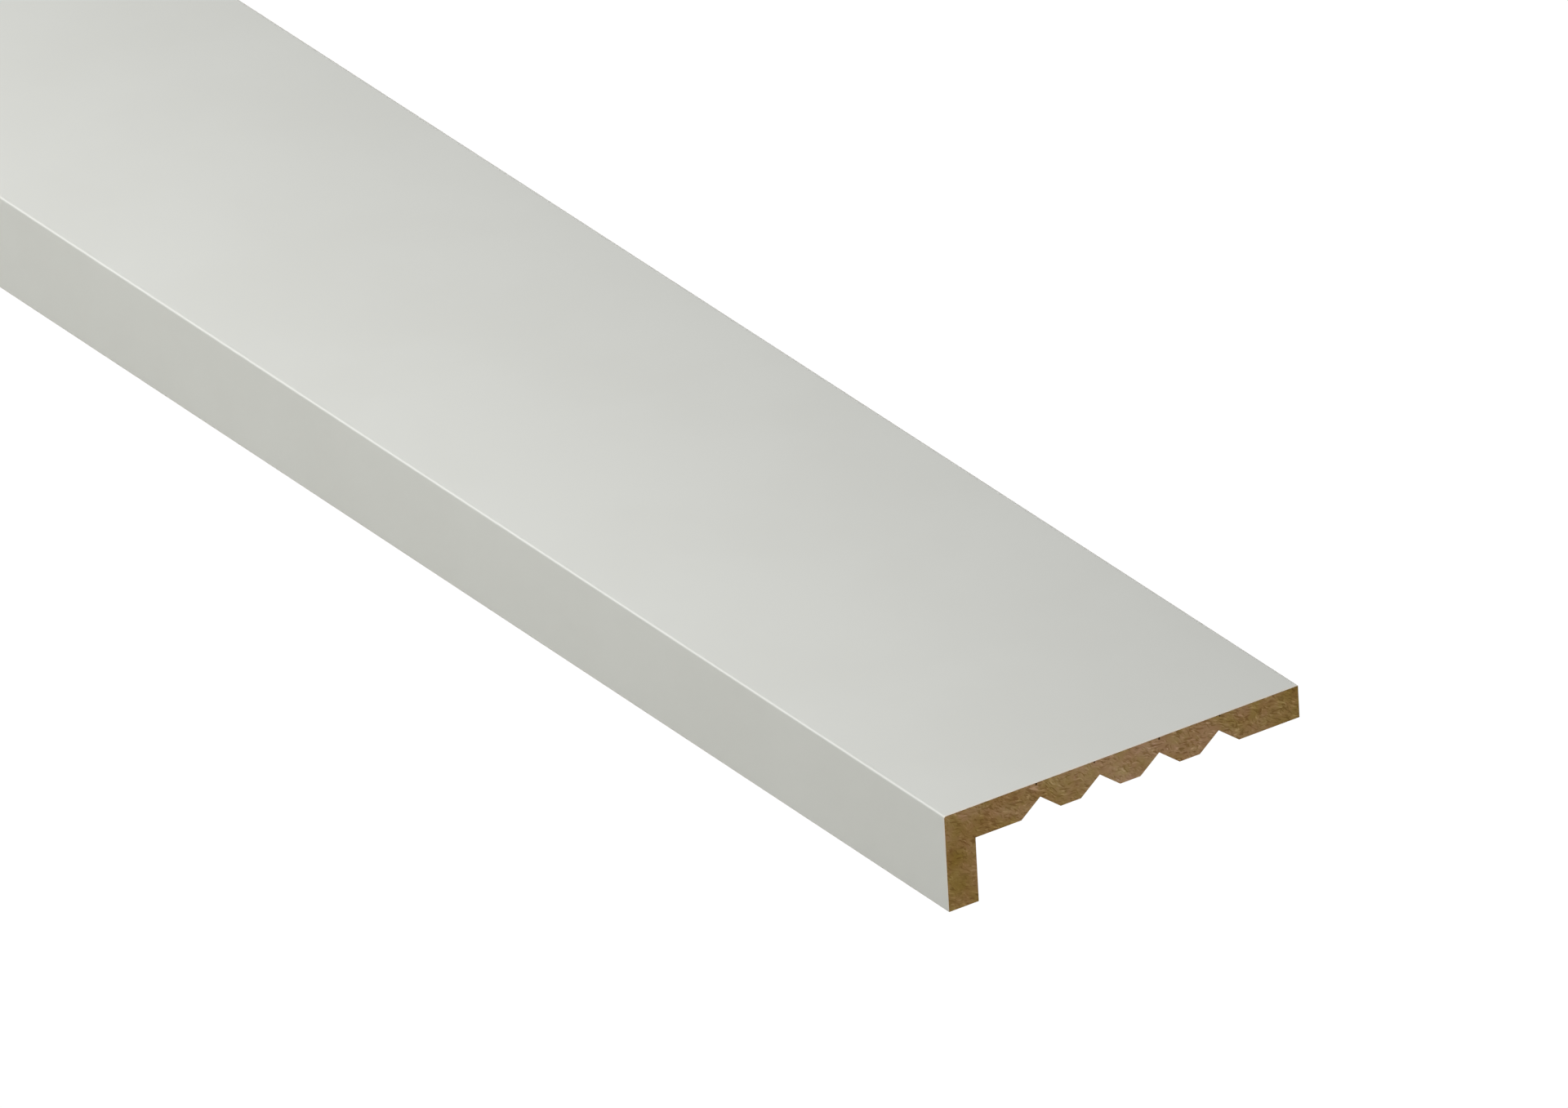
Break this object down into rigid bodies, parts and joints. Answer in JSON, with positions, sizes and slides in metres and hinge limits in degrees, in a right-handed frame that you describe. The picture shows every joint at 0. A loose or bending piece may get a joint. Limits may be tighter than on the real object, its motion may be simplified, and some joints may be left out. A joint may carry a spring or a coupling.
{
  "type": "cover strip",
  "caption": "Straight fibreboard cover strip, L-shaped in section, white on its outer faces and V-grooved along its bare back, that slips over the edge and face of an older board.",
  "frame": {"origin": "on the back of the wide leg at mid length, in the middle of the land between the two middle grooves", "axes": "+X along the strip, +Y across it from the lip to the plain far edge, +Z out of the wide white face; the lip hangs down to -Z along the -Y side"},
  "size_m": [0.6, 0.119, 0.03],
  "materials": {
    "white_faced_fibreboard": "satin white coat on the wide face and the lip's outer face, bare brown fibreboard on the back, the grooves and the cut ends"
  },
  "bodies": {
    "root": {"cover_strip": "white_faced_fibreboard"}
  },
  "joints": []
}
